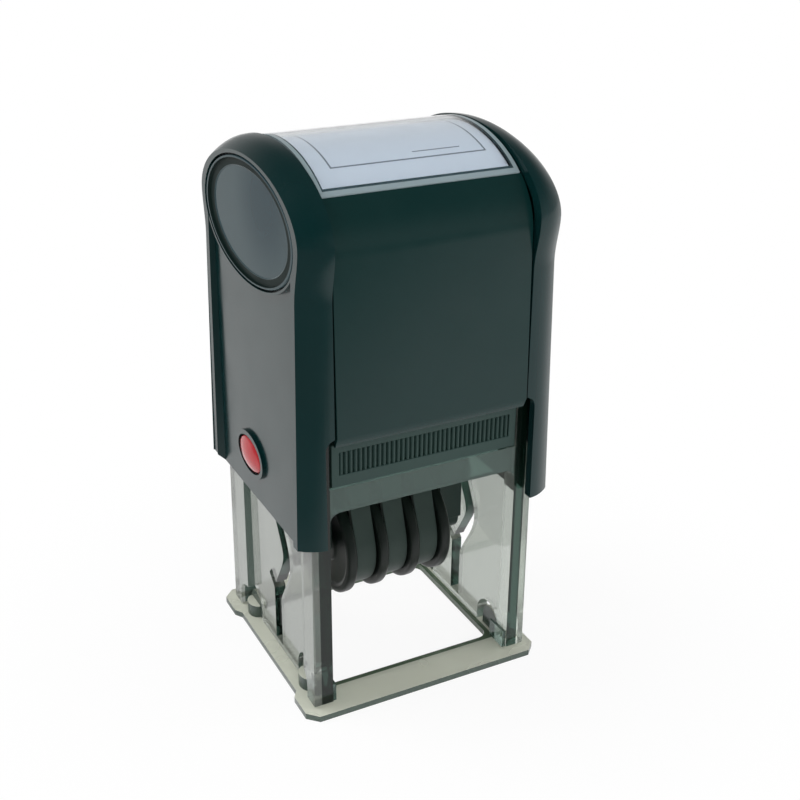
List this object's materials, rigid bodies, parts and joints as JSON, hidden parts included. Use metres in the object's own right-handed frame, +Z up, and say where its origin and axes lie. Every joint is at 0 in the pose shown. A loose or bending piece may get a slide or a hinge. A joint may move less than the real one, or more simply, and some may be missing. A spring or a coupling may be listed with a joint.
{
  "type": "self-inking date stamp",
  "caption": "Self-inking date stamp: pressing the arched housing swings the printing unit from its ink pad to the paper; date wheels turn, pad pulls out, side buttons lock.",
  "frame": {"origin": "centre of the underside of the foot plate, on the paper", "axes": "+Z up along the stroke, -Y toward the front with the ribbed pad grip, +X to the right seen from the front"},
  "size_m": [0.0494, 0.0472, 0.0999],
  "materials": {
    "housing_plastic": "satin moulded, black with a green cast",
    "disc_plastic": "glossy blue-grey",
    "frame_smoke": "clear, smoke-grey tint",
    "foot_clear": "clear, warm grey tint",
    "pad_holder_plastic": "fine moulded texture",
    "pad_felt": "inked felt",
    "unit_plastic": "moulded",
    "wheel_plastic": "satin moulded",
    "band_rubber": "smooth rubber",
    "die_rubber": "matte rubber",
    "steel": "drawn wire and turned steel",
    "button_red": "glossy red",
    "label_paper": "smooth, pale blue-white",
    "window_clear": "clear, polished"
  },
  "bodies": {
    "frame": {"lower_frame": "frame_smoke", "foot_plate": "foot_clear", "return_spring_left": "steel", "return_spring_right": "steel"},
    "housing": {"housing_barrel": "housing_plastic", "left_side_cover": "housing_plastic", "right_side_cover": "housing_plastic", "left_end_disc": "disc_plastic", "right_end_disc": "disc_plastic", "label_card": "label_paper", "label_window": "window_clear", "press_yoke": "unit_plastic", "yoke_screw_left": "steel", "yoke_screw_right": "steel"},
    "unit": {"cradle": "unit_plastic", "text_plate": "unit_plastic", "text_die": "die_rubber", "band_bridge": "unit_plastic", "wheel_axle": "steel", "date_band_1": "band_rubber", "date_band_2": "band_rubber", "date_band_3": "band_rubber"},
    "wheel_1": {"setting_wheel_1": "wheel_plastic"},
    "wheel_2": {"setting_wheel_2": "wheel_plastic"},
    "wheel_3": {"setting_wheel_3": "wheel_plastic"},
    "pad": {"pad_cartridge": "pad_holder_plastic", "ink_pad": "pad_felt"},
    "lock_left": {"lock_button_left": "button_red"},
    "lock_right": {"lock_button_right": "button_red"}
  },
  "joints": [
    {"name": "press", "type": "slide", "parent": "frame", "child": "housing", "axis": [0, 0, -1], "range_m": [0, 0.03], "stiffness_N_per_m": 300, "springref_m": -0.01, "deforming": ["return_spring_left", "return_spring_right"]},
    {"name": "unit_turn", "type": "hinge", "parent": "housing", "child": "unit", "pos_m": [0, 0, 0.0385], "axis": [-1, 0, 0], "range_deg": [0, 180]},
    {"name": "wheel_1_turn", "type": "hinge", "parent": "unit", "child": "wheel_1", "pos_m": [-0.0064, -0.001, 0.0228], "axis": [1, 0, 0], "continuous": true},
    {"name": "wheel_2_turn", "type": "hinge", "parent": "unit", "child": "wheel_2", "pos_m": [0, -0.001, 0.0228], "axis": [1, 0, 0], "continuous": true},
    {"name": "wheel_3_turn", "type": "hinge", "parent": "unit", "child": "wheel_3", "pos_m": [0.0064, -0.001, 0.0228], "axis": [1, 0, 0], "continuous": true},
    {"name": "pad_pull", "type": "slide", "parent": "frame", "child": "pad", "axis": [0, 1, 0], "range_m": [-0.032, 0]},
    {"name": "lock_left_press", "type": "slide", "parent": "housing", "child": "lock_left", "axis": [1, 0, 0], "range_m": [0, 0.0012], "stiffness_N_per_m": 300, "springref_m": -0.001},
    {"name": "lock_right_press", "type": "slide", "parent": "housing", "child": "lock_right", "axis": [-1, 0, 0], "range_m": [0, 0.0012], "stiffness_N_per_m": 300, "springref_m": -0.001}
  ],
  "couplings": [
    {"joint": "unit_turn", "follows": "press", "rad_per_m": 104.72}
  ]
}
